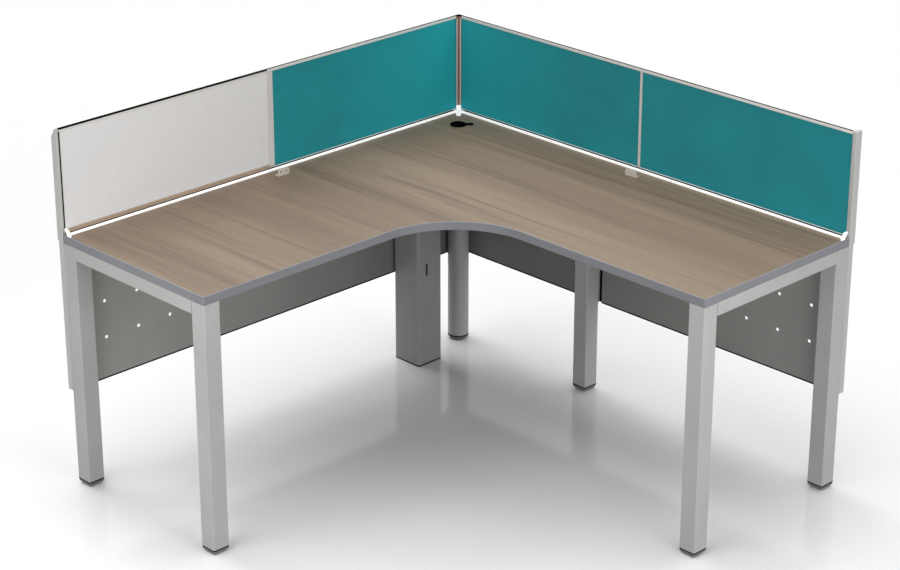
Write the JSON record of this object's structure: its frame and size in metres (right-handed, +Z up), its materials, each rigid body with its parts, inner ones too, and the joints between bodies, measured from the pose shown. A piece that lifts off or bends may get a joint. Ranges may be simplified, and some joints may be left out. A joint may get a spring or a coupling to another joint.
{
  "type": "cubicle workstation",
  "caption": "L-shaped corner desk on square steel legs with a swept inner corner, fabric and whiteboard desk screens, modesty panels and a cable riser.",
  "frame": {"origin": "on the floor under the middle of the desk's bounding box", "axes": "+Z up; the right wing runs along +X and the left wing along -Y from the corner at (-0.7375, +0.7375), so the user sits at the +X -Y side"},
  "size_m": [1.525, 1.525, 1.05],
  "materials": {
    "worktop_laminate": "grey-brown oak-grain laminate, fine matt texture",
    "edge_band_plastic": "grey plastic edge band, satin",
    "frame_paint": "silver-grey powder coat, satin",
    "panel_paint": "mid-grey powder coat, satin",
    "riser_paint": "grey powder coat, satin",
    "clip_paint": "light grey powder coat, satin",
    "trim_aluminium": "satin anodised extrusion",
    "bronze_aluminium": "bronze anodised extrusion, satin",
    "whiteboard_enamel": "white marker-board face, semi-gloss",
    "teal_fabric": "teal woven screen fabric",
    "white_plastic": "white plastic, satin",
    "black_plastic": "black plastic, matt",
    "foot_rubber": "dark grey nylon, matt",
    "zinc_steel": "zinc-plated steel"
  },
  "bodies": {
    "desk_frame": {"worktop": "worktop_laminate", "edge_band": "edge_band_plastic", "leg_front_left": "frame_paint", "leg_back_left": "frame_paint", "leg_front_right": "frame_paint", "leg_back_right": "frame_paint", "leg_middle": "frame_paint", "leg_corner": "frame_paint", "beam_end_left": "frame_paint", "beam_end_right": "frame_paint", "rear_rail_left": "frame_paint", "rear_rail_right_inner": "frame_paint", "rear_rail_right_outer": "frame_paint", "support_arm_left": "frame_paint", "support_arm_right": "frame_paint", "modesty_panel_left": "panel_paint", "modesty_panel_right_inner": "panel_paint", "modesty_panel_right_outer": "panel_paint", "panel_joint_strip": "black_plastic", "panel_end_trim_left": "trim_aluminium", "panel_end_trim_right": "trim_aluminium", "screen_corner_post": "bronze_aluminium", "screen_top_rail_left": "trim_aluminium", "screen_top_rail_right": "trim_aluminium", "screen_bottom_rail_left": "trim_aluminium", "screen_bottom_rail_right": "trim_aluminium", "screen_end_post_left": "trim_aluminium", "screen_end_post_right": "trim_aluminium", "screen_mid_post_left": "trim_aluminium", "screen_mid_post_right": "trim_aluminium", "whiteboard_tile": "whiteboard_enamel", "fabric_tile_left": "teal_fabric", "fabric_tile_right_inner": "teal_fabric", "fabric_tile_right_outer": "teal_fabric", "edge_rail_left": "white_plastic", "edge_rail_right": "white_plastic", "rail_end_cap_left": "white_plastic", "rail_end_cap_right": "white_plastic", "rail_corner_piece": "white_plastic", "desk_clip_left": "clip_paint", "desk_clip_right": "clip_paint", "riser_channel": "riser_paint", "riser_shoe": "black_plastic", "grommet_sleeve": "black_plastic", "worktop_screws": "zinc_steel", "panel_screws": "zinc_steel", "plug_front_left": "black_plastic", "plug_back_left": "black_plastic", "plug_front_right": "black_plastic", "plug_back_right": "black_plastic", "plug_middle": "black_plastic", "plug_corner": "black_plastic"},
    "foot_front_left": {"foot_front_left": "foot_rubber"},
    "foot_back_left": {"foot_back_left": "foot_rubber"},
    "foot_front_right": {"foot_front_right": "foot_rubber"},
    "foot_back_right": {"foot_back_right": "foot_rubber"},
    "foot_middle": {"foot_middle": "foot_rubber"},
    "foot_corner": {"foot_corner": "foot_rubber"},
    "riser_cover": {"riser_cover": "riser_paint"},
    "grommet_cap": {"grommet_cap": "black_plastic"}
  },
  "joints": [
    {"name": "foot_front_left_level", "type": "slide", "parent": "desk_frame", "child": "foot_front_left", "axis": [0, 0, 1], "range_m": [-0.015, 0]},
    {"name": "foot_back_left_level", "type": "slide", "parent": "desk_frame", "child": "foot_back_left", "axis": [0, 0, 1], "range_m": [-0.015, 0]},
    {"name": "foot_front_right_level", "type": "slide", "parent": "desk_frame", "child": "foot_front_right", "axis": [0, 0, 1], "range_m": [-0.015, 0]},
    {"name": "foot_back_right_level", "type": "slide", "parent": "desk_frame", "child": "foot_back_right", "axis": [0, 0, 1], "range_m": [-0.015, 0]},
    {"name": "foot_middle_level", "type": "slide", "parent": "desk_frame", "child": "foot_middle", "axis": [0, 0, 1], "range_m": [-0.015, 0]},
    {"name": "foot_corner_level", "type": "slide", "parent": "desk_frame", "child": "foot_corner", "axis": [0, 0, 1], "range_m": [-0.015, 0]},
    {"name": "riser_cover_pull", "type": "slide", "parent": "desk_frame", "child": "riser_cover", "axis": [1, 0, 0], "range_m": [0, 0.04]},
    {"name": "grommet_cap_turn", "type": "hinge", "parent": "desk_frame", "child": "grommet_cap", "pos_m": [-0.6305, 0.6305, 0.752], "axis": [0, 0, 1], "continuous": true}
  ]
}
